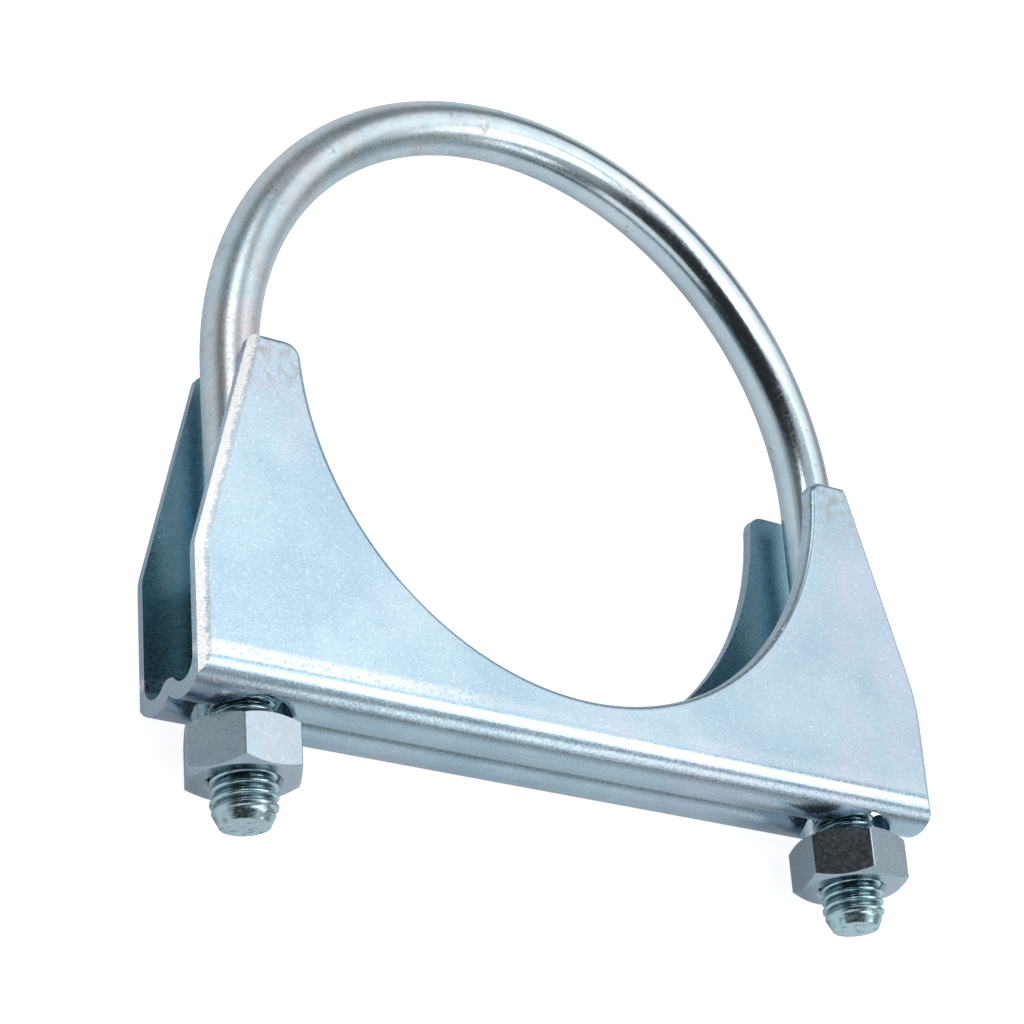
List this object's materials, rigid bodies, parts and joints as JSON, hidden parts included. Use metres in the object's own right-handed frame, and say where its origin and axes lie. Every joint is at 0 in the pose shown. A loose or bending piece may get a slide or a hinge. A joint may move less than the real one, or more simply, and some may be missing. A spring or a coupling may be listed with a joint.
{
  "type": "u-bolt pipe clamp",
  "caption": "U-bolt pipe clamp: a bent round rod with threaded legs, a pressed channel saddle with a round pipe seat, and hex nuts.",
  "frame": {"origin": "on the axis of the pipe that the clamp holds, midway across the channel's width", "axes": "+Z along the pipe's axis, out of the channel's front plate; +Y along the legs, from the nuts to the crown of the bend; +X from the left leg to the right leg"},
  "size_m": [0.1088, 0.1067, 0.0148],
  "materials": {
    "rod_zinc": "bright blue-clear zinc plating, glossy",
    "sheet_zinc": "blue-clear zinc plating, satin",
    "nut_zinc": "blue-clear zinc plating, satin"
  },
  "bodies": {
    "saddle_body": {"saddle": "sheet_zinc"},
    "u_bolt_body": {"u_bolt": "rod_zinc"},
    "left_nut_body": {"left_nut": "nut_zinc"},
    "right_nut_body": {"right_nut": "nut_zinc"}
  },
  "joints": [
    {"name": "u_bolt_draw", "type": "slide", "parent": "saddle_body", "child": "u_bolt_body", "axis": [0, -1, 0], "range_m": [-0.004, 0.018]},
    {"name": "left_nut_turn", "type": "hinge", "parent": "saddle_body", "child": "left_nut_body", "pos_m": [-0.045, -0.0517, 0], "axis": [0, 1, 0], "range_deg": [-1153, 5185]},
    {"name": "right_nut_turn", "type": "hinge", "parent": "saddle_body", "child": "right_nut_body", "pos_m": [0.045, -0.0517, 0], "axis": [0, 1, 0], "range_deg": [-1153, 5185]}
  ],
  "couplings": [
    {"joint": "left_nut_turn", "follows": "u_bolt_draw", "rad_per_m": 5026.5},
    {"joint": "right_nut_turn", "follows": "u_bolt_draw", "rad_per_m": 5026.5}
  ]
}
